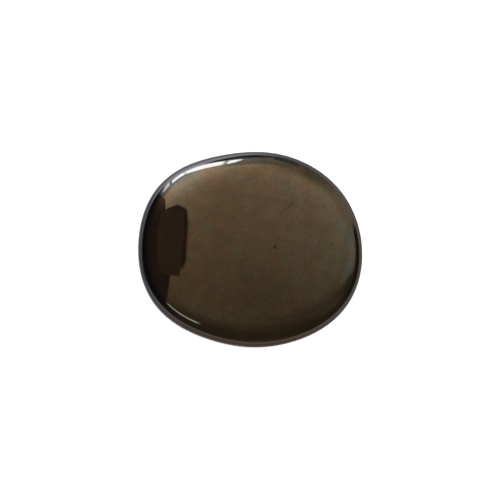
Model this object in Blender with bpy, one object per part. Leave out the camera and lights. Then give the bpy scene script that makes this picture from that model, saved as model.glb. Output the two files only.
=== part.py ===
"""Hematite disc: one flat pebble of massive hematite, tumbled and polished on every side.

Seen from above the stone is a slightly squared oval. Both faces bulge a little, the edge between them is
rounded all the way round, and the stone lies on a small flat spot in the middle of its underside.

Metres, +Z up, +X along the longest way across. The origin is on the flat spot, under the middle of the stone.
Run it with: blender --background --python part.py
"""

import math

import bmesh
import bpy

MM = 0.001

# Outline seen from above: a circle with a few gentle swells. Each swell has the number of its crests round
# the stone, its height, and the direction of its first crest in degrees from +X towards +Y.
MEAN_RADIUS = 20.0 * MM
SWELLS = (
    (2, 1.354 * MM, -1.8),
    (3, 0.097 * MM, -51.4),
    (4, 0.193 * MM, -40.6),
    (5, 0.108 * MM, -6.2),
    (6, 0.097 * MM, 27.5),
)

# Section through the stone.
EDGE_HALF_HEIGHT = 3.2 * MM
EDGE_ROUNDING = 1.68 * MM
TOP_BULGE = 0.55 * MM
UNDERSIDE_BULGE = 0.45 * MM
FLAT_SPOT_SHARE = 0.30

# How finely the faceted solid follows that form.
SEGMENTS = 96
EDGE_ANGLES_DEG = (9, 18, 27, 36, 45, 54, 63, 72, 79, 85)
FACE_SHARES = (0.58, 0.44)
TOP_CENTRE_SHARE = 0.15

POLISHED_HEMATITE = (0.17, 0.145, 0.115, 1.0)


def outline_radius(direction):
    """Distance from the middle to the outline, towards a direction in radians."""
    radius = MEAN_RADIUS
    for crests, height, first_crest in SWELLS:
        radius += height * math.cos(crests * (direction - math.radians(first_crest)))
    return radius


REST_HEIGHT = EDGE_HALF_HEIGHT + UNDERSIDE_BULGE * (1 - FLAT_SPOT_SHARE**2)


def edge_height(share, radius):
    """Height of the rounded edge above the stone's mid-plane, at a share of the way out.

    The power grows with the radius, so the rounding takes up the same width in every direction.
    """
    return EDGE_HALF_HEIGHT * math.sqrt(max(0.0, 1 - share ** (radius / EDGE_ROUNDING)))


def underside_depth(share, radius):
    """How far the underside lies below the mid-plane. Inside the flat spot it is the same everywhere."""
    if share <= FLAT_SPOT_SHARE:
        return REST_HEIGHT
    return edge_height(share, radius) + UNDERSIDE_BULGE * (1 - share**2)


def surface_point(direction, share, side):
    """A point of the upper surface (side 1) or the lower surface (side -1)."""
    radius = outline_radius(direction)
    if side > 0:
        height = edge_height(share, radius) + TOP_BULGE * (1 - share**2)
    else:
        height = -underside_depth(share, radius)
    x = share * radius * math.cos(direction)
    y = share * radius * math.sin(direction)
    return (x, y, REST_HEIGHT + height)


def share_on_edge(direction, angle_deg):
    """Where on the rounded edge a ring lies: 0 degrees at the rim, 90 where the edge has run out into the face."""
    power = outline_radius(direction) / EDGE_ROUNDING
    return math.cos(math.radians(angle_deg)) ** (2 / power)


def edge_ring(angle_deg, side):
    return [(d, share_on_edge(d, angle_deg), side) for d in directions()]


def face_ring(share, side):
    return [(d, share, side) for d in directions()]


def directions():
    return [math.tau * i / SEGMENTS for i in range(SEGMENTS)]


def rings_from_top_to_underside():
    """Each ring as (direction, share, side) for each of its corners."""
    top = [face_ring(share, 1) for share in (TOP_CENTRE_SHARE, *reversed(FACE_SHARES))]
    top += [edge_ring(angle, 1) for angle in reversed(EDGE_ANGLES_DEG)]
    rim = [edge_ring(0, 1)]
    underside = [edge_ring(angle, -1) for angle in EDGE_ANGLES_DEG]
    underside += [face_ring(share, -1) for share in (*FACE_SHARES, FLAT_SPOT_SHARE)]
    return top + rim + underside


def add_ring(stone, ring):
    """One closed loop of edges round the stone."""
    loop = bmesh.ops.create_circle(stone, segments=SEGMENTS, radius=MEAN_RADIUS)["verts"]
    loop.sort(key=lambda corner: math.atan2(corner.co.y, corner.co.x) % math.tau)
    for corner, (direction, share, side) in zip(loop, ring):
        corner.co = surface_point(direction, share, side)
    return loop


def add_band(stone, upper, lower):
    """The strip of facets between two neighbouring rings, facing outwards."""
    for i in range(SEGMENTS):
        j = (i + 1) % SEGMENTS
        stone.faces.new((upper[i], lower[i], lower[j], upper[j]))


def hematite_material():
    material = bpy.data.materials.new("polished_hematite")
    material.use_nodes = True
    shader = material.node_tree.nodes["Principled BSDF"]
    shader.inputs["Base Color"].default_value = POLISHED_HEMATITE
    shader.inputs["Metallic"].default_value = 1.0
    shader.inputs["Roughness"].default_value = 0.05
    material.diffuse_color = POLISHED_HEMATITE
    return material


def hematite_disc():
    """The whole stone, as one closed solid."""
    stone = bmesh.new()
    loops = [add_ring(stone, ring) for ring in rings_from_top_to_underside()]
    for upper, lower in zip(loops, loops[1:]):
        add_band(stone, upper, lower)

    summit = stone.verts.new(surface_point(0, 0, 1))
    for i, corner in enumerate(loops[0]):
        stone.faces.new((summit, corner, loops[0][(i + 1) % SEGMENTS]))
    stone.faces.new(list(reversed(loops[-1])))

    mesh = bpy.data.meshes.new("hematite_disc")
    stone.to_mesh(mesh)
    stone.free()
    mesh.shade_smooth()
    mesh.materials.append(hematite_material())
    disc = bpy.data.objects.new("hematite_disc", mesh)
    bpy.context.scene.collection.objects.link(disc)
    return disc


def clear_scene():
    for thing in list(bpy.data.objects):
        bpy.data.objects.remove(thing)


clear_scene()
hematite_disc()
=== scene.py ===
"""Hematite disc: a flat tumbled pebble of massive hematite with a mirror polish, lying on a pale floor.

Metres, +Z up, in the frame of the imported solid. +X is the photograph's right and +Y its top. The camera looks
down on the stone from almost straight above, a little from the near left.
"""

import math
import random
from collections import namedtuple

import bmesh
import bpy
from mathutils import Matrix, Vector


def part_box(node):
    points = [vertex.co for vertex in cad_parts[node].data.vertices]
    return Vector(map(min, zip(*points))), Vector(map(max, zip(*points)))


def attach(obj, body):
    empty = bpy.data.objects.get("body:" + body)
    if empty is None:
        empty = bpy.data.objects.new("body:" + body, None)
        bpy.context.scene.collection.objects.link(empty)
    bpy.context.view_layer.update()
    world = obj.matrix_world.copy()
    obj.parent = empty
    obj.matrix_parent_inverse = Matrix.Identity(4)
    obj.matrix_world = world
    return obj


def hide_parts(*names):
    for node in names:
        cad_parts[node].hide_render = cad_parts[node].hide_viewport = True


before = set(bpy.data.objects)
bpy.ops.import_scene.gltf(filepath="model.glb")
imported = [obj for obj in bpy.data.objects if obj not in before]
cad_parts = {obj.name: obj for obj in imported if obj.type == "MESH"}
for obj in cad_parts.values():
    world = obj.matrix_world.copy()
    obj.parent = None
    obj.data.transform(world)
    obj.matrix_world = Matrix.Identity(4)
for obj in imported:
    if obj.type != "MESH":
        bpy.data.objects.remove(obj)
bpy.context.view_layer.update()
stone_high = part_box("hematite_disc")[1]

MM = 0.001

# The stone's form, as in its solid. A swell has its number of crests, its height and its first crest's
# direction in degrees.
MEAN_RADIUS = 20.0 * MM
SWELLS = (
    (2, 1.354 * MM, -1.8),
    (3, 0.097 * MM, -51.4),
    (4, 0.193 * MM, -40.6),
    (5, 0.108 * MM, -6.2),
    (6, 0.097 * MM, 27.5),
)
EDGE_HALF_HEIGHT = 3.2 * MM
EDGE_ROUNDING = 1.68 * MM
TOP_BULGE = 0.55 * MM
UNDERSIDE_BULGE = 0.45 * MM
FLAT_SPOT_SHARE = 0.30

# The blank is a flat disc of radius 1 that the form rule turns into the stone. Up to FACE_PART of the way out
# it becomes a face, and beyond that the rounded edge, which starts FACE_ANGLE_DEG round from the rim.
BLANK_CELLS = 150
BLANK_WELD = 1e-6
FACE_PART = 0.60
FACE_ANGLE_DEG = 70.0

# Near a pit the blank's cells are split, level by level, out to this many pit radii and a margin.
REFINE_LEVELS = 3
REFINE_RADII = 3.2
REFINE_RADII_LESS_PER_LEVEL = 0.6
REFINE_MARGIN = 0.012

# The polished metal's colours. The face drifts between a redder, an olive and an ochre brown, and the rim is
# cooler. The face's warm brown against the cooler rim is partly painted reflection: a warm room mirrored in the
# face.
FACE_RED = (0.205, 0.151, 0.112, 1.0)
FACE_OLIVE = (0.180, 0.163, 0.124, 1.0)
FACE_OCHRE = (0.200, 0.163, 0.101, 1.0)
RIM_GREY = (0.165, 0.160, 0.162, 1.0)
PIT_BROWN = (0.088, 0.056, 0.034, 1.0)
OCHRE_AT_MOST = 0.6
RIM_GREY_FROM = 0.90
RIM_GREY_FULL = 0.97

# Patterns of the finish: noise cells per metre, detail, roughness, and the noise where it starts and is full.
CLOUDS = (260.0, 3.0, 0.55, 0.32, 0.68)
OCHRE_CLOUDS = (310.0, 3.0, 0.6, 0.45, 0.75)
BLOTCHES = (420.0, 3.0, 0.6, 0.30, 0.70)
GRAIN = (1500.0, 2.0, 0.6, 0.25, 0.75)
SPECKS = (2400.0, 1.0, 0.5, 0.66, 0.76)
SMEARS = (90.0, 4.0, 0.6, 0.5, 0.75)

# How light the face is where no pattern touches it, and what each pattern adds or takes.
PLAIN_SHADE = 0.845
BLOTCH_LIGHTER = 0.16
GRAIN_LIGHTER = 0.16
SPECK_DARKER = 0.17
STREAK_DARKER = 0.22

# Roughness of the polish, and what a smear and a pit add to it.
POLISH_ROUGHNESS = 0.028
SMEAR_ROUGHER = 0.012
PIT_ROUGHER = 0.4

# The slight waves that tumbling and polish leave. They fade out over LEVEL_MARGIN above the flat spot.
WAVINESS = 0.0012 * MM
WAVE_LENGTH = 7.0 * MM
LEVEL_MARGIN = 0.4 * MM

# Small pits strewn over the stone. A pit is a ragged bowl, and its colour and dullness come in over its side.
PIT_SEED = 11
SMALL_PITS = 46
SMALL_PIT_RADII = (0.05 * MM, 0.13 * MM)
SMALL_PITS_WAY_OUT = 0.95
SMALL_PIT_BROWNNESS = 0.5
PIT_DEPTH_SHARE = 0.08
PIT_STEEPNESS = 1.5
PIT_RAGS_PER_METRE = 9000.0
PIT_RAGGEDNESS = 0.5
PIT_SIDE = (0.02, 0.6)

# Marks that show in the photograph: place on the top face, radius, depth, and how brown the pit is inside.
VISIBLE_PITS = (
    (4.12 * MM, -0.40 * MM, 0.44 * MM, 0.010 * MM, 0.9),
    (13.35 * MM, 7.55 * MM, 0.26 * MM, 0.008 * MM, 0.5),
    (14.8 * MM, 0.4 * MM, 0.30 * MM, 0.008 * MM, 0.5),
    (15.2 * MM, -0.45 * MM, 0.20 * MM, 0.006 * MM, 0.5),
    (12.5 * MM, 0.8 * MM, 0.26 * MM, 0.008 * MM, 0.5),
    (8.9 * MM, 4.2 * MM, 0.26 * MM, 0.008 * MM, 0.5),
    (-9.2 * MM, -0.5 * MM, 0.20 * MM, 0.006 * MM, 0.5),
    (5.6 * MM, -6.15 * MM, 0.26 * MM, 0.008 * MM, 0.5),
    (9.4 * MM, -5.1 * MM, 0.28 * MM, 0.006 * MM, 0.5),
    (16.70 * MM, -8.80 * MM, 0.48 * MM, 0.006 * MM, 0.7),
)

# Faint darker streaks on the top face: two ends in its plan, and half their width. Their sides are soft.
STREAKS = (
    ((7.6 * MM, 8.2 * MM), (6.9 * MM, 7.4 * MM), 0.40 * MM),
    ((6.3 * MM, 6.9 * MM), (5.2 * MM, 6.0 * MM), 0.34 * MM),
)
STREAK_CORE = 0.3
STREAK_REACH = 1.3
STREAKS_COME_IN_AT = (EDGE_HALF_HEIGHT, 1.5 * EDGE_HALF_HEIGHT)

# Camera, as in the photograph.
CAMERA_AZIMUTH_DEG = -26.0
CAMERA_ELEVATION_DEG = 79.0
CAMERA_DISTANCE = 250.1 * MM
CAMERA_AIM = Vector((-0.145 * MM, -0.275 * MM, 3.5 * MM))
CAMERA_LENS_MM = 96.0
CAMERA_SENSOR_MM = 36.0
CAMERA_SEES_FROM = 0.01
CAMERA_SEES_TO = 50.0


class Value:
    """A number that varies over a surface. Arithmetic on it adds Math nodes to its tree."""

    def __init__(self, graph, socket):
        self.graph = graph
        self.socket = socket

    def math(self, operation, *terms):
        return self.graph.math(operation, self, *terms)

    def __add__(self, other):
        return self.math("ADD", other)

    def __radd__(self, other):
        return self.graph.math("ADD", other, self)

    def __sub__(self, other):
        return self.math("SUBTRACT", other)

    def __rsub__(self, other):
        return self.graph.math("SUBTRACT", other, self)

    def __mul__(self, other):
        return self.math("MULTIPLY", other)

    def __rmul__(self, other):
        return self.graph.math("MULTIPLY", other, self)

    def __truediv__(self, other):
        return self.math("DIVIDE", other)

    def __rtruediv__(self, other):
        return self.graph.math("DIVIDE", other, self)

    def __pow__(self, other):
        return self.math("POWER", other)

    def __rpow__(self, other):
        return self.graph.math("POWER", other, self)

    def __neg__(self):
        return self.math("MULTIPLY", -1.0)


class Graph:
    """Adds nodes to one shader or geometry tree."""

    def __init__(self, tree):
        self.tree = tree

    def node(self, kind, settings=None, sockets=None):
        """A node of any type: its settings first, then the values or links of its sockets."""
        node = self.tree.nodes.new(kind)
        for name, setting in (settings or {}).items():
            setattr(node, name, setting)
        for key, value in (sockets or {}).items():
            self.connect(node.inputs[key], value)
        return node

    def connect(self, socket, value):
        if isinstance(value, Value):
            self.tree.links.new(value.socket, socket)
        elif isinstance(value, bpy.types.NodeSocket):
            self.tree.links.new(value, socket)
        else:
            socket.default_value = value

    def out(self, node, key=0):
        return Value(self, node.outputs[key])

    def math(self, operation, *terms):
        node = self.node("ShaderNodeMath", {"operation": operation}, dict(enumerate(terms)))
        return self.out(node)

    def vector_math(self, operation, *terms, output=0):
        node = self.node("ShaderNodeVectorMath", {"operation": operation}, dict(enumerate(terms)))
        return self.out(node, output)

    def smooth(self, value, start, end):
        """0 before start, 1 after end and a smooth rise between them."""
        settings = {"interpolation_type": "SMOOTHSTEP"}
        node = self.node("ShaderNodeMapRange", settings, {"Value": value, "From Min": start, "From Max": end})
        return self.out(node)

    def mix(self, factor, first, second):
        """A colour between two colours."""
        settings = {"data_type": "RGBA"}
        node = self.node("ShaderNodeMix", settings, {0: factor, 6: first, 7: second})
        return self.out(node, 2)

    def tint(self, colour, strength):
        """A colour made stronger or weaker."""
        node = self.node("ShaderNodeVectorMath", {"operation": "SCALE"}, {0: colour, "Scale": strength})
        return self.out(node)

    def noise(self, place, scale, detail=2.0, roughness=0.5):
        settings = {"noise_dimensions": "3D"}
        sockets = {"Vector": place, "Scale": scale, "Detail": detail, "Roughness": roughness}
        return self.out(self.node("ShaderNodeTexNoise", settings, sockets))

    def parts(self, vector):
        node = self.node("ShaderNodeSeparateXYZ", None, {0: vector})
        return self.out(node, 0), self.out(node, 1), self.out(node, 2)


# The form rule in Python, for placing pits by their real position on the stone.


def outline_radius(direction):
    radius = MEAN_RADIUS
    for crests, height, first_crest in SWELLS:
        radius += height * math.cos(crests * (direction - math.radians(first_crest)))
    return radius


def blank_place(x, y):
    """Where on the blank a point of the stone's plan lies."""
    direction = math.atan2(y, x)
    radius = outline_radius(direction)
    share = math.hypot(x, y) / radius
    power = radius / EDGE_ROUNDING
    face_share = math.cos(math.radians(FACE_ANGLE_DEG)) ** (2 / power)
    if share < face_share:
        way_out = share / face_share * FACE_PART
    else:
        angle = math.degrees(math.acos(share ** (power / 2)))
        way_out = 1 - angle / FACE_ANGLE_DEG * (1 - FACE_PART)
    return way_out * math.cos(direction), way_out * math.sin(direction)


# The blank and its pits. A pit's x and y are its place on the blank, and its side is 1 for the top and -1 for
# the underside.

Pit = namedtuple("Pit", "x y side radius depth brownness")


def disc_place(a, b):
    """Maps a square to a disc so that squares round the middle become circles."""
    if max(abs(a), abs(b)) == 0:
        return 0.0, 0.0
    if abs(a) >= abs(b):
        way_out, direction = a, math.pi / 4 * b / a
        return way_out * math.cos(direction), way_out * math.sin(direction)
    way_out, direction = b, math.pi / 4 * a / b
    return way_out * math.sin(direction), way_out * math.cos(direction)


def blank_sheet(bm, side):
    """One side of the blank. Its height only tells the two sides apart: it is zero at the rim they share."""
    made = bmesh.ops.create_grid(bm, x_segments=BLANK_CELLS, y_segments=BLANK_CELLS, size=1.0)
    for corner in made["verts"]:
        x, y = disc_place(corner.co.x, corner.co.y)
        corner.co = (x, y, side * (1 - math.hypot(x, y)))
    if side < 0:
        faces = {face for corner in made["verts"] for face in corner.link_faces}
        bmesh.ops.reverse_faces(bm, faces=list(faces))


def refine_near(bm, pits):
    """Splits the cells near each pit, so that the pit has enough of them to be round."""
    for level in range(REFINE_LEVELS):
        radii = REFINE_RADII - REFINE_RADII_LESS_PER_LEVEL * level
        chosen = set()
        for face in bm.faces:
            centre = face.calc_center_median()
            for pit in pits:
                near = radii * pit.radius / MEAN_RADIUS + REFINE_MARGIN / (level + 1)
                same_side = pit.side * centre.z > 0
                if same_side and (centre.x - pit.x) ** 2 + (centre.y - pit.y) ** 2 < near**2:
                    chosen.update(face.edges)
                    break
        bmesh.ops.subdivide_edges(bm, edges=list(chosen), cuts=1, use_grid_fill=True, use_single_edge=True)


def stone_blank(pits):
    bm = bmesh.new()
    blank_sheet(bm, 1)
    blank_sheet(bm, -1)
    bmesh.ops.remove_doubles(bm, verts=bm.verts, dist=BLANK_WELD)
    refine_near(bm, pits)
    mesh = bpy.data.meshes.new("stone_blank")
    bm.to_mesh(mesh)
    bm.free()
    blank = bpy.data.objects.new("stone_blank", mesh)
    bpy.context.scene.collection.objects.link(blank)
    return blank


def all_pits():
    """The pits that show in the photograph, and small ones strewn clear of them over both sides."""
    pits = []
    for x, y, radius, depth, brownness in VISIBLE_PITS:
        pits.append(Pit(*blank_place(x, y), 1, radius, depth, brownness))
    dice = random.Random(PIT_SEED)
    for _ in range(SMALL_PITS):
        direction = dice.uniform(0, math.tau)
        way_out = SMALL_PITS_WAY_OUT * math.sqrt(dice.random())
        radius = dice.uniform(*SMALL_PIT_RADII)
        side = dice.choice((1, -1))
        place = (way_out * math.cos(direction), way_out * math.sin(direction))
        others = [pit for pit in pits if pit.side == side]
        if all(math.dist(place, (pit.x, pit.y)) * MEAN_RADIUS > radius + pit.radius for pit in others):
            pits.append(Pit(*place, side, radius, PIT_DEPTH_SHARE * radius, SMALL_PIT_BROWNNESS))
    return pits


def pit_points(pits):
    """The pits as loose points on the blank, with their radius, depth and brownness."""
    mesh = bpy.data.meshes.new("pit_points")
    places = [(pit.x, pit.y, pit.side * (1 - math.hypot(pit.x, pit.y))) for pit in pits]
    mesh.from_pydata(places, [], [])
    measures = {
        "pit_radius": [pit.radius for pit in pits],
        "pit_depth": [pit.depth for pit in pits],
        "pit_brownness": [pit.brownness for pit in pits],
    }
    for name, numbers in measures.items():
        mesh.attributes.new(name, "FLOAT", "POINT").data.foreach_set("value", numbers)
    points = bpy.data.objects.new("pit_points", mesh)
    bpy.context.scene.collection.objects.link(points)
    return points


# The form rule as Geometry Nodes.


def stone_inputs():
    """The form tree's named inputs and their values."""
    inputs = {
        "Mean radius": MEAN_RADIUS,
        "Edge half height": EDGE_HALF_HEIGHT,
        "Edge rounding": EDGE_ROUNDING,
        "Top bulge": TOP_BULGE,
        "Underside bulge": UNDERSIDE_BULGE,
        "Flat spot share": FLAT_SPOT_SHARE,
        "Face part of blank": FACE_PART,
        "Edge start angle": math.radians(FACE_ANGLE_DEG),
        "Waviness": WAVINESS,
        "Wave length": WAVE_LENGTH,
    }
    for crests, height, first_crest in SWELLS:
        inputs[f"Swell {crests} height"] = height
        inputs[f"Swell {crests} direction"] = math.radians(first_crest)
    return inputs


def form_rule(g, given):
    """The stone's surface over the blank: its position, and the share of the way out to the rim."""
    blank = g.out(g.node("GeometryNodeInputPosition"))
    x, y, z = g.parts(blank)
    direction = g.math("ARCTAN2", y, x)
    way_out = (x * x + y * y) ** 0.5
    radius = given["Mean radius"]
    for crests, _height, _first_crest in SWELLS:
        turned = (direction - given[f"Swell {crests} direction"]) * crests
        radius = radius + given[f"Swell {crests} height"] * turned.math("COSINE")
    power = radius / given["Edge rounding"]
    start = given["Edge start angle"]
    face_part = given["Face part of blank"]

    face_share = start.math("COSINE") ** (2.0 / power) * (way_out / face_part)
    edge_angle = start * ((1.0 - way_out) / (1.0 - face_part)).math("MAXIMUM", 0.0)
    edge_share = edge_angle.math("COSINE") ** (2.0 / power)
    on_edge = way_out.math("GREATER_THAN", face_part)
    share = face_share + (edge_share - face_share) * on_edge

    face_rise = (1.0 - face_share**power).math("MAXIMUM", 0.0) ** 0.5
    edge_rise = edge_angle.math("SINE")
    rise = given["Edge half height"] * (face_rise + (edge_rise - face_rise) * on_edge)
    top = rise + given["Top bulge"] * (1.0 - share * share)
    rest = given["Edge half height"] + given["Underside bulge"] * (1.0 - given["Flat spot share"] ** 2.0)
    bottom = (rise + given["Underside bulge"] * (1.0 - share * share)).math("MINIMUM", rest)
    below = z.math("LESS_THAN", 0.0)
    height = rest + top - (top + bottom) * below
    away = share * radius
    across, along = away * direction.math("COSINE"), away * direction.math("SINE")
    place = g.node("ShaderNodeCombineXYZ", None, {"X": across, "Y": along, "Z": height})
    return g.out(place), share


def shaped(g, geometry, place):
    return g.out(g.node("GeometryNodeSetPosition", None, {"Geometry": geometry, "Position": place}))


def stored(g, geometry, name, value):
    settings = {"data_type": "FLOAT", "domain": "POINT"}
    sockets = {"Geometry": geometry, "Name": name, "Value": value}
    return g.out(g.node("GeometryNodeStoreNamedAttribute", settings, sockets))


def named(g, name):
    node = g.node("GeometryNodeInputNamedAttribute", {"data_type": "FLOAT"}, {"Name": name})
    return g.out(node, "Attribute")


def hand_waves(g, geometry, given):
    """The slight waves that tumbling and polish leave. The flat spot stays level."""
    place = g.out(g.node("GeometryNodeInputPosition"))
    wave = (g.noise(place, 1.0 / given["Wave length"], 1.0) - 0.5) * 2.0
    off_flat_spot = g.smooth(g.parts(place)[2], 0.0, LEVEL_MARGIN)
    push = given["Waviness"] * wave * off_flat_spot
    normal = g.out(g.node("GeometryNodeInputNormal"))
    offset = g.tint(normal, push)
    return g.out(g.node("GeometryNodeSetPosition", None, {"Geometry": geometry, "Offset": offset}))


def pitted(g, geometry, points):
    """Sinks a pit round each point, and keeps for the finish where the pits are and how brown they are."""
    place = g.out(g.node("GeometryNodeInputPosition"))
    nearest = g.out(g.node("GeometryNodeSampleNearest", {"domain": "POINT"}, {"Geometry": points}))

    def at_nearest(kind, value):
        sockets = {"Geometry": points, "Value": value, "Index": nearest}
        return g.out(g.node("GeometryNodeSampleIndex", {"data_type": kind, "domain": "POINT"}, sockets))

    middle = at_nearest("FLOAT_VECTOR", place)
    radius = at_nearest("FLOAT", named(g, "pit_radius"))
    depth = at_nearest("FLOAT", named(g, "pit_depth"))
    brownness = at_nearest("FLOAT", named(g, "pit_brownness"))
    ragged = 1.0 + (g.noise(place, PIT_RAGS_PER_METRE, 2.0) - 0.5) * PIT_RAGGEDNESS
    away = g.vector_math("DISTANCE", place, middle, output="Value") / radius * ragged
    bowl = (1.0 - away * away).math("MAXIMUM", 0.0) ** PIT_STEEPNESS
    in_pit = g.smooth(bowl, *PIT_SIDE)
    geometry = stored(g, geometry, "pit", in_pit)
    geometry = stored(g, geometry, "brown", in_pit * brownness)
    normal = g.out(g.node("GeometryNodeInputNormal"))
    offset = g.tint(normal, bowl * depth * -1.0)
    return g.out(g.node("GeometryNodeSetPosition", None, {"Geometry": geometry, "Offset": offset}))


def stone_form_tree(material, inputs):
    """Geometry Nodes that turn the blank into the stone."""
    tree = bpy.data.node_groups.new("stone_form", "GeometryNodeTree")
    tree.interface.new_socket(name="Blank", in_out="INPUT", socket_type="NodeSocketGeometry")
    tree.interface.new_socket(name="Pit points", in_out="INPUT", socket_type="NodeSocketObject")
    for name in inputs:
        tree.interface.new_socket(name=name, in_out="INPUT", socket_type="NodeSocketFloat")
    tree.interface.new_socket(name="Stone", in_out="OUTPUT", socket_type="NodeSocketGeometry")
    g = Graph(tree)
    group_in = g.node("NodeGroupInput")
    given = {name: g.out(group_in, name) for name in inputs}
    place, share = form_rule(g, given)

    stone = stored(g, g.out(group_in, "Blank"), "share", share)
    stone = shaped(g, stone, place)
    pit_object = g.out(group_in, "Pit points")
    points = g.node("GeometryNodeObjectInfo", {"transform_space": "ORIGINAL"}, {0: pit_object})
    points = shaped(g, g.out(points, "Geometry"), place)
    stone = hand_waves(g, stone, given)
    stone = pitted(g, stone, points)
    stone = g.out(g.node("GeometryNodeSetShadeSmooth", None, {"Geometry": stone}))
    stone = g.out(g.node("GeometryNodeRealizeInstances", None, {"Geometry": stone}))
    stone = g.out(g.node("GeometryNodeSetMaterial", None, {"Geometry": stone, "Material": material}))
    g.node("NodeGroupOutput", None, {"Stone": stone})
    return tree


def made_plain(thing, name):
    """The evaluated shape of an object as a plain mesh object of its own."""
    depsgraph = bpy.context.evaluated_depsgraph_get()
    mesh = bpy.data.meshes.new_from_object(thing.evaluated_get(depsgraph), depsgraph=depsgraph)
    mesh.name = name
    piece = bpy.data.objects.new(name, mesh)
    bpy.context.scene.collection.objects.link(piece)
    return piece


def hematite_stone():
    """The polished stone, as one closed mesh."""
    pits = all_pits()
    blank = stone_blank(pits)
    points = pit_points(pits)
    inputs = stone_inputs()
    tree = stone_form_tree(hematite_finish(), inputs)
    modifier = blank.modifiers.new("stone_form", "NODES")
    modifier.node_group = tree
    values = {**inputs, "Pit points": points}
    for item in tree.interface.items_tree:
        if item.in_out == "INPUT" and item.name in values:
            modifier[item.identifier] = values[item.name]
    piece = made_plain(blank, "polished_stone")
    blank.modifiers.remove(modifier)
    for helper in (blank, points):
        bpy.data.objects.remove(helper)
    bpy.data.node_groups.remove(tree)
    return piece


# The stone's finish.


def new_material(name):
    material = bpy.data.materials.new(name)
    material.use_nodes = True
    material.node_tree.nodes.clear()
    return material, Graph(material.node_tree)


def streak_mask(g, place):
    """1 on the faint streaks of the top face, 0 elsewhere."""
    x, y, z = g.parts(place)
    flat = g.out(g.node("ShaderNodeCombineXYZ", None, {"X": x, "Y": y}))
    mask = 0.0
    for start, end, half_width in STREAKS:
        way = Vector(end) - Vector(start)
        from_start = g.vector_math("SUBTRACT", flat, (*start, 0.0))
        along = g.vector_math("DOT_PRODUCT", from_start, (*way, 0.0), output="Value") / way.length_squared
        along = along.math("MAXIMUM", 0.0).math("MINIMUM", 1.0)
        away = g.vector_math("DISTANCE", from_start, g.tint((*way, 0.0), along), output="Value")
        mask = 1.0 - g.smooth(away, STREAK_CORE * half_width, STREAK_REACH * half_width) + mask
    return mask * g.smooth(z, *STREAKS_COME_IN_AT)


def pattern(g, place, values):
    """1 inside the patches of a noise pattern, 0 between them."""
    per_metre, detail, roughness, start, full = values
    return g.smooth(g.noise(place, per_metre, detail, roughness), start, full)


def hematite_finish():
    """Mirror-polished hematite: faces that drift in colour and are warmed by a painted reflection of a warm
    room, a cooler rim, and dull brown pits.
    """
    material, g = new_material("polished_hematite")
    place = g.out(g.node("ShaderNodeTexCoord"), "Object")
    share = g.out(g.node("ShaderNodeAttribute", {"attribute_name": "share"}), "Fac")
    pit = g.out(g.node("ShaderNodeAttribute", {"attribute_name": "pit"}), "Fac")
    brown = g.out(g.node("ShaderNodeAttribute", {"attribute_name": "brown"}), "Fac")

    face = g.mix(pattern(g, place, CLOUDS), FACE_RED, FACE_OLIVE)
    face = g.mix(pattern(g, place, OCHRE_CLOUDS) * OCHRE_AT_MOST, face, FACE_OCHRE)
    lighter = pattern(g, place, BLOTCHES) * BLOTCH_LIGHTER + pattern(g, place, GRAIN) * GRAIN_LIGHTER
    darker = pattern(g, place, SPECKS) * SPECK_DARKER + streak_mask(g, place) * STREAK_DARKER
    face = g.tint(face, PLAIN_SHADE + lighter - darker)
    # Painted reflection: the face's warm brown gives way to a cooler grey at the rim.
    colour = g.mix(g.smooth(share, RIM_GREY_FROM, RIM_GREY_FULL), face, RIM_GREY)
    colour = g.mix(brown, colour, PIT_BROWN)

    roughness = POLISH_ROUGHNESS + pattern(g, place, SMEARS) * SMEAR_ROUGHER + pit * PIT_ROUGHER
    sockets = {"Base Color": colour, "Metallic": 1.0, "Roughness": roughness}
    shader = g.node("ShaderNodeBsdfPrincipled", None, sockets)
    g.node("ShaderNodeOutputMaterial", None, {"Surface": g.out(shader)})
    return material


# The studio. The mirrored floor lies a little above the seen one, and both a little below the stone.

FLOOR_HALF_WIDTH = 14.0
FLOOR_HEIGHT = -0.02 * MM
MIRRORED_FLOOR_HEIGHT = -0.01 * MM
DOME_RADIUS = 10.0
DOME_SUBDIVISIONS = 5
FLOOR_PALE = (0.86, 0.86, 0.86, 1.0)
SKY_STRENGTH = 2.2

# The mirrored floor, with painted light and shade: a warmer tint of light to the right, brown shade on the near
# side and painted contact shadow in bands round the stone. Its places are told by ring, which is 1 under the
# stone's rim,
# 2 twice as far out and so on, and by how far across or along its own ring a place lies. A pair gives where a
# change starts and ends.
MIRRORED_COOL = (0.96, 0.96, 1.06, 1.0)
MIRRORED_WARM_LIGHT = (1.0, 0.92, 0.83, 1.0)
MIRRORED_BROWN_SHADE = (0.98, 0.74, 0.57, 1.0)
WARM_LIGHT_TO_THE_RIGHT = (0.35, 0.75)
BROWN_SHADE_ON_THE_NEAR_SIDE = (-0.5, -1.0)
FLOOR_LIGHT = 0.20

# Towards the main light, given as steps across and along, the floor is lighter, and more so farther out.
MAIN_LIGHT_WAY = (-0.37, 0.93)
MAIN_LIGHT_SPREAD = (0.78, 1.0)
MAIN_LIGHT_CLOSE = 0.10
MAIN_LIGHT_FAR = 0.25
MAIN_LIGHT_FAR_RINGS = (1.4, 3.0)

# Bands round the stone: what the floor's light is under it, and what each band then adds, with its rings.
CLOSE_LIGHT = 1.06
CLOSE_BANDS = (
    (-0.36, (1.1, 1.38)),
    (0.38, (1.42, 1.85)),
    (-0.12, (2.2, 5.0)),
)
# A darker painted shadow line on the near side, close round the stone.
NEAR_LINE_DARKER = 0.25
NEAR_LINE_RINGS = (1.22, 1.36)
NEAR_LINE_END_RINGS = (1.5, 1.7)

# Two dark wedges lie on the floor, to the left and right. Their middle lines run SIDE_SHADE_SLANT towards the
# near side for each step out.
SIDE_SHADE_DARKER = 0.85
SIDE_SHADE_SLANT = 0.21
SIDE_SHADE_REACH = (1.5, 2.7)
LEFT_SHADE_CLOSER = 0.4
LEFT_SHADE_SPREAD = (0.87, 0.97)


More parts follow.
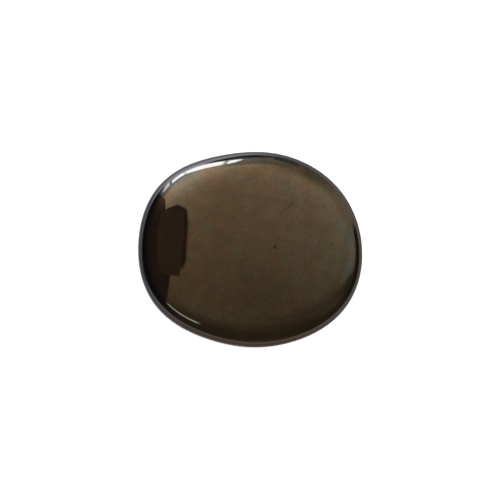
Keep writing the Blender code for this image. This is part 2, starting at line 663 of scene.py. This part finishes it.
def plain_sheet(name, half_width, height, material):
    mesh = bpy.data.meshes.new(name)
    w = half_width
    corners = [(-w, -w, height), (w, -w, height), (w, w, height), (-w, w, height)]
    mesh.from_pydata(corners, [], [(0, 1, 2, 3)])
    mesh.materials.append(material)
    sheet = bpy.data.objects.new(name, mesh)
    bpy.context.scene.collection.objects.link(sheet)
    return sheet


def matte(name, colour):
    material, g = new_material(name)
    shader = g.node("ShaderNodeBsdfDiffuse", None, {"Color": colour})
    g.node("ShaderNodeOutputMaterial", None, {"Surface": g.out(shader)})
    return material


def mirrored_floor_light(g, across, along, ring, near):
    """How light the mirrored floor is, as a factor on its colour."""
    way_across, way_along = MAIN_LIGHT_WAY
    to_main_light = g.smooth((along * way_along + across * way_across) / ring, *MAIN_LIGHT_SPREAD)
    far = g.smooth(ring, *MAIN_LIGHT_FAR_RINGS)
    light = FLOOR_LIGHT + to_main_light * (MAIN_LIGHT_CLOSE + far * MAIN_LIGHT_FAR)
    close = CLOSE_LIGHT
    for added, rings in CLOSE_BANDS:
        close = g.smooth(ring, *rings) * added + close
    near_line = near * g.smooth(ring, *NEAR_LINE_RINGS) * (1.0 - g.smooth(ring, *NEAR_LINE_END_RINGS))
    close = close * (1.0 - near_line * NEAR_LINE_DARKER)
    aside = across.math("ABSOLUTE")
    slanted = (along + aside * SIDE_SHADE_SLANT).math("ABSOLUTE")
    left = g.smooth(-across / ring, *LEFT_SHADE_SPREAD)
    side_shade = g.smooth(aside - slanted + left * LEFT_SHADE_CLOSER, *SIDE_SHADE_REACH)
    return light * close * (1.0 - side_shade * SIDE_SHADE_DARKER)


def mirrored_floor_finish():
    material, g = new_material("mirrored_floor")
    x, y, _z = g.parts(g.out(g.node("ShaderNodeTexCoord"), "Object"))
    across, along = x / stone_high.x, y / stone_high.y
    ring = (across * across + along * along) ** 0.5
    # Painted shade: brown on the near side, and a warmer tint of light to the right.
    near = g.smooth(along / ring, *BROWN_SHADE_ON_THE_NEAR_SIDE)
    colour = g.mix(g.smooth(across / ring, *WARM_LIGHT_TO_THE_RIGHT), MIRRORED_COOL, MIRRORED_WARM_LIGHT)
    colour = g.mix(near, colour, MIRRORED_BROWN_SHADE)
    colour = g.tint(colour, mirrored_floor_light(g, across, along, ring, near))
    shader = g.node("ShaderNodeBsdfDiffuse", None, {"Color": colour})
    g.node("ShaderNodeOutputMaterial", None, {"Surface": g.out(shader)})
    return material


def floors():
    """A pale floor, and the dimmer one that the stone mirrors, as if it lay in the stone's shade."""
    seen = plain_sheet("floor", FLOOR_HALF_WIDTH, FLOOR_HEIGHT, matte("pale_floor", FLOOR_PALE))
    seen.visible_glossy = False
    finish = mirrored_floor_finish()
    mirrored = plain_sheet("floor_in_reflections", FLOOR_HALF_WIDTH, MIRRORED_FLOOR_HEIGHT, finish)
    mirrored.visible_camera = False
    mirrored.visible_diffuse = False
    mirrored.visible_shadow = False


# What only reflections see, on a dome far above the stone. Angles are in degrees, azimuth runs from +X
# towards +Y, and colours are radiances.
ZENITH_LIGHT = (0.13, 0.083, 0.04)
BRIGHTER_TOWARDS_DEG = 118
BRIGHTER_RATE = 3.1
AMBIENT = (0.069, 0.061, 0.041)

# Soft glows: azimuth, elevation, tightness and radiance.
GLOWS = (
    ("glow over the main light", 116, 37, 18, (1.5, 2.0, 1.85)),
    ("right side", 44, 58, 20, (0.30, 0.36, 0.33)),
    ("upper right band", 72, 66, 80, (0.12, 0.07, 0.10)),
    ("near side, high", 230, 82, 40, (0.045, 0.06, 0.055)),
    ("near side, low", 277, 5, 40, (0.13, 0.06, 0.03)),
)

# A net that holds back some of the light: azimuth, elevation, tightness and the share it holds back.
NET = (35, 83, 350, 0.2)

# Panels: azimuth and half width, elevation and half height, how much they lean, softness and radiance. Each
# lies over those before it.
CARDS = (
    ("card beside the main light", 80, 14, 18, 33, 0.15, 4, (0.39, 0.39, 0.35)),
    ("upper right card", 59, 11, 19, 34, 0.4, 12, (0.26, 0.26, 0.20)),
    ("right card", 34, 12, 16, 34, -0.4, 8, (0.47, 0.43, 0.33)),
    ("green shade", 72, 6, 7, 22, -0.6, 1, (0.14, 0.17, 0.17)),
    ("grey card", 93, 4, 36, 4, 0.4, 11, (0.70, 0.81, 0.90)),
    ("right light", 14, 13, 43, 16, -0.25, 10, (0.42, 0.45, 0.42)),
    ("lower right shade", -26, 12, 60, 24, 0, 11, (0.14, 0.125, 0.095)),
    ("dark card on the right", -10, 8, 36, 12, 0, 2, (0.085, 0.083, 0.064)),
    ("right shade", 0, 22, 4, 20, 0, 3, (0.048, 0.042, 0.030)),
    ("blue shade", 87, 11, 15, 8, 1, 6, (0.06, 0.065, 0.095)),
    ("slate shade", 61, 16, 12, 2, 0, 4, (0.17, 0.17, 0.15)),
)
MAIN_LIGHT_SURROUND = (
    ("haze", 110, 15, 46, 20, -0.25, 14, (1.25, 1.25, 1.15)),
    ("border", 120, 27, 20, 25, 0.3, 6, (0.88, 1.1, 1.45)),
    ("lower border", 113, 17, 10, 8, -0.45, 1.5, (2.0, 2.25, 2.6)),
)

# The main light's bright fields: softness, corners anticlockwise as azimuth and elevation, and radiance.
MAIN_LIGHT_FIELDS = (
    (
        "slate line under the main light", 1.2,
        ((82, -4), (88, 0.5), (102, 12.5), (101, 15.5), (97.5, 21), (95, 22.5), (92.5, 21), (85, 8)),
        (0.055, 0.085, 0.15),
    ),
    (
        "left field", 0.8,
        ((124.5, 8), (128, 11), (134, 25.5), (131, 34), (125, 30)),
        (5.5, 6.4, 6.9),
    ),
    (
        "second field", 0.8,
        ((113.5, 12.5), (122.5, 16.5), (122.5, 31.5), (111, 29)),
        (6.2, 7.4, 9.1),
    ),
    (
        "long field", 0.8,
        ((94.5, 26.5), (97.5, 23.5), (101.5, 19.5), (112, 15.5), (110.5, 31.5), (103.5, 38), (96, 42),
         (94, 42)),
        (5.5, 6.5, 8.4),
    ),
    (
        "right field", 0.4,
        ((91.5, 28), (93.5, 28.5), (93, 41), (92, 42.5), (91, 40.5), (89.5, 31)),
        (4.6, 6.1, 8.3),
    ),
)

# Flags: softness, corners anticlockwise on a flat map of the dome, where a direction is its own X and Y, and
# radiance.
FLAGS = (
    (
        "large flag on the left", 0.0035,
        ((-0.08, 0.145), (-0.36, 0.43), (-0.7, 0.67), (-1.4, 0), (-0.77, -0.59)),
        (0.061, 0.045, 0.044),
    ),
    (
        "dark edge of the small flag", 0.0035,
        ((-0.03, 0.145), (-0.025, 0.205), (-0.028, 0.225), (-0.034, 0.245), (-0.093, 0.28), (-0.2, 0.305),
         (-0.335, 0.325), (-0.31, 0.095), (-0.04, 0.13)),
        (0.05, 0.038, 0.03),
    ),
    (
        "small flag over the stone", 0.0035,
        ((-0.04, 0.145), (-0.034, 0.205), (-0.037, 0.225), (-0.044, 0.243), (-0.096, 0.27), (-0.2, 0.297),
         (-0.335, 0.32), (-0.31, 0.095), (-0.048, 0.13)),
        (0.098, 0.074, 0.057),
    ),
    (
        "foot of the small flag", 0.0035,
        ((-0.045, 0.14), (-0.3, 0.147), (-0.31, 0.06), (-0.155, 0.078), (-0.1, 0.093), (-0.06, 0.104)),
        (0.093, 0.071, 0.055),
    ),
)

LOW_FLAGS_AND_STRIP = (
    ("brown edge of the large flag", 132, 3, 40, 16, -0.6, 15, (0.41, 0.30, 0.28)),
    ("strip light", 232, 14.5, 44, 3, 0.17, 2, (1.65, 1.85, 1.75)),
    ("foot of the large flag", 177, 53, 14, 22, 0.1, 25, (0.018, 0.018, 0.02)),
    ("low dark card", 168, 32, 4, 14, 0, 4, (0.018, 0.016, 0.018)),
)


def direction_of(azimuth_deg, elevation_deg):
    azimuth, elevation = math.radians(azimuth_deg), math.radians(elevation_deg)
    level = math.cos(elevation)
    return (math.cos(azimuth) * level, math.sin(azimuth) * level, math.sin(elevation))


def panel_light(g, light, azimuth, elevation, panel):
    """Lays one panel over the light of the dome."""
    _name, middle, half_width, height, half_height, lean, soft, radiance = panel
    across = g.math("WRAP", azimuth - middle, 180.0, -180.0)
    up = elevation - height - across * lean
    inside = 1.0 - g.smooth(across.math("ABSOLUTE"), half_width - soft, half_width + soft)
    inside = inside * (1.0 - g.smooth(up.math("ABSOLUTE"), half_height - soft, half_height + soft))
    return g.mix(inside, light, (*radiance, 1.0))


def outlined_light(g, light, across, up, shape):
    """Lays one shape with straight sides over the light of the dome."""
    _name, softness, corners, radiance = shape
    inside = 1.0
    for (ax, ay), (bx, by) in zip(corners, corners[1:] + corners[:1]):
        length = math.hypot(bx - ax, by - ay)
        nx, ny = (ay - by) / length, (bx - ax) / length
        within = across * nx + up * ny - (ax * nx + ay * ny)
        inside = g.smooth(within, -softness, softness) * inside
    return g.mix(inside, light, (*radiance, 1.0))


def studio_dome():
    """A dim warm dome with glows, lit panels and dark flags, which only reflections see."""
    material, g = new_material("studio_dome")
    place = g.out(g.node("ShaderNodeTexCoord"), "Object")
    toward = g.vector_math("NORMALIZE", place)
    x, y, z = g.parts(toward)
    azimuth = g.math("ARCTAN2", y, x) * math.degrees(1)
    elevation = z.math("ARCSINE") * math.degrees(1)

    brighter = math.radians(BRIGHTER_TOWARDS_DEG)
    slope = math.e ** ((x * math.cos(brighter) + y * math.sin(brighter)) * BRIGHTER_RATE)
    light = g.vector_math("ADD", g.tint(ZENITH_LIGHT, slope), AMBIENT)
    for _name, glow_azimuth, glow_elevation, tightness, radiance in GLOWS:
        middle = direction_of(glow_azimuth, glow_elevation)
        near = g.vector_math("DOT_PRODUCT", toward, middle, output="Value")
        light = g.vector_math("ADD", light, g.tint(radiance, math.e ** ((near - 1.0) * tightness)))
    net_azimuth, net_elevation, tightness, held_back = NET
    near = g.vector_math("DOT_PRODUCT", toward, direction_of(net_azimuth, net_elevation), output="Value")
    light = g.tint(light, 1.0 - math.e ** ((near - 1.0) * tightness) * held_back)
    for panel in CARDS + MAIN_LIGHT_SURROUND:
        light = panel_light(g, light, azimuth, elevation, panel)
    for field in MAIN_LIGHT_FIELDS:
        light = outlined_light(g, light, azimuth, elevation, field)
    for flag in FLAGS:
        light = outlined_light(g, light, x, y, flag)
    for panel in LOW_FLAGS_AND_STRIP:
        light = panel_light(g, light, azimuth, elevation, panel)
    shader = g.node("ShaderNodeEmission", None, {"Color": light, "Strength": 1.0})
    g.node("ShaderNodeOutputMaterial", None, {"Surface": g.out(shader)})
    material.cycles.emission_sampling = "NONE"

    bm = bmesh.new()
    bmesh.ops.create_icosphere(bm, subdivisions=DOME_SUBDIVISIONS, radius=DOME_RADIUS)
    mesh = bpy.data.meshes.new("studio_dome")
    bm.to_mesh(mesh)
    bm.free()
    mesh.materials.append(material)
    dome = bpy.data.objects.new("studio_dome", mesh)
    bpy.context.scene.collection.objects.link(dome)
    dome.visible_camera = False
    dome.visible_diffuse = False
    dome.visible_shadow = False
    dome.visible_transmission = False
    dome.visible_volume_scatter = False


def soft_sky():
    """Even pale light from all round, and the plain background beyond the floor."""
    world = bpy.data.worlds.new("soft_sky")
    bpy.context.scene.world = world
    world.use_nodes = True
    world.node_tree.nodes.clear()
    g = Graph(world.node_tree)
    sky = g.node("ShaderNodeBackground", None, {"Color": (1.0, 1.0, 1.0, 1.0), "Strength": SKY_STRENGTH})
    g.node("ShaderNodeOutputWorld", None, {"Surface": g.out(sky)})


def camera():
    azimuth = math.radians(CAMERA_AZIMUTH_DEG)
    elevation = math.radians(CAMERA_ELEVATION_DEG)
    back = Vector((
        math.sin(azimuth) * math.cos(elevation),
        -math.cos(azimuth) * math.cos(elevation),
        math.sin(elevation),
    ))
    up = (Vector((0, 1, 0)) - back * back.y).normalized()
    right = up.cross(back)
    data = bpy.data.cameras.new("camera")
    data.lens = CAMERA_LENS_MM
    data.sensor_width = CAMERA_SENSOR_MM
    data.clip_start = CAMERA_SEES_FROM
    data.clip_end = CAMERA_SEES_TO
    thing = bpy.data.objects.new("camera", data)
    bpy.context.scene.collection.objects.link(thing)
    turn = Matrix((right, up, back)).transposed().to_4x4()
    thing.matrix_world = Matrix.Translation(CAMERA_AIM + back * CAMERA_DISTANCE) @ turn
    bpy.context.scene.camera = thing


camera()
soft_sky()
floors()
studio_dome()
bpy.context.scene.view_settings.view_transform = "Standard"

stone = hematite_stone()
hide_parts("hematite_disc")
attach(stone, "root")
